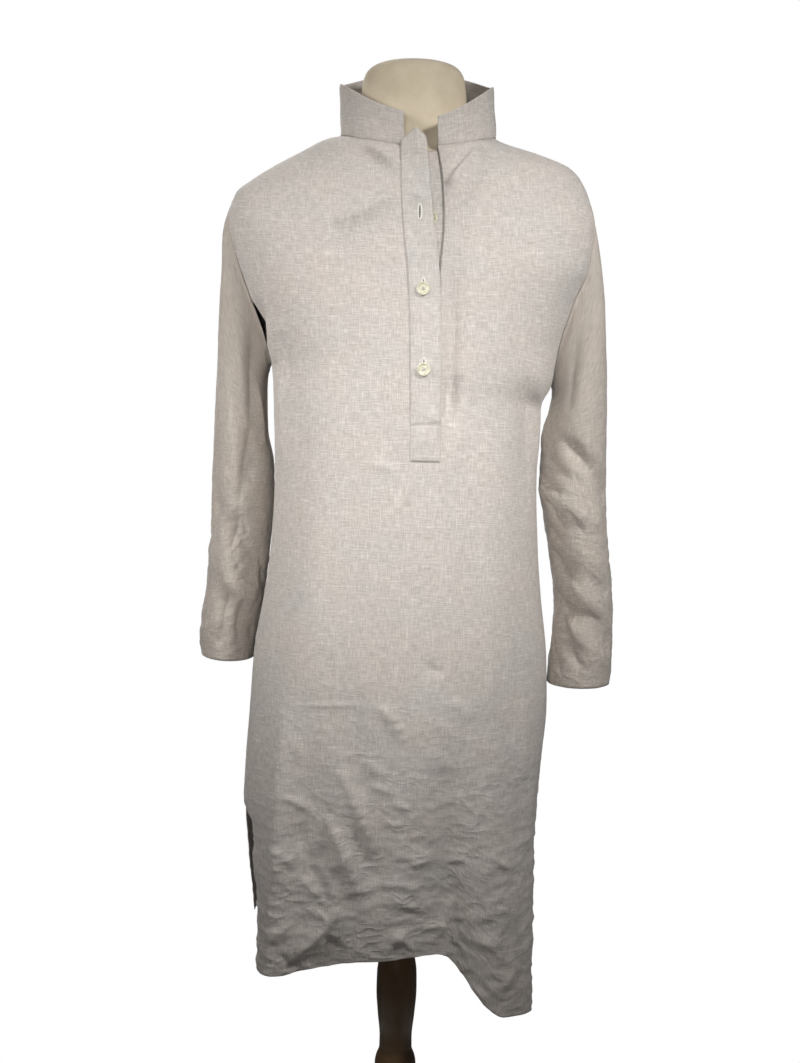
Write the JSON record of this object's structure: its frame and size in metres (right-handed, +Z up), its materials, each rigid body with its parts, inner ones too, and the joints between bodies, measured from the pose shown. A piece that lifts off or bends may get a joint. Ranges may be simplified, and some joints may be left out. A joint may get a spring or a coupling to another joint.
{
  "type": "smock dress on a dress form",
  "caption": "Long-sleeved knee-length smock dress with stand collar, buttoned placket and side vents, worn by a limbless dress form on a wooden stand.",
  "frame": {"origin": "on the floor, at the middle of the base's underside, under the post", "axes": "+Z up, -Y the way the dress faces, +X the wearer's left"},
  "size_m": [0.507, 0.4, 1.4842],
  "materials": {
    "linen": "undyed oatmeal plain-weave linen, washed and creased",
    "button": "ivory shirt button with a soft gloss",
    "jersey": "cream cotton jersey stretched over the form",
    "wood": "turned hardwood, stained dark brown and waxed"
  },
  "bodies": {
    "root": {"front": "linen", "back": "linen", "sleeve_left": "linen", "sleeve_right": "linen", "collar": "linen", "placket_upper": "linen", "placket_lower": "linen", "button_top": "button", "button_middle": "button", "button_low": "button", "dress_form": "jersey", "post": "wood", "base": "wood"}
  },
  "joints": []
}
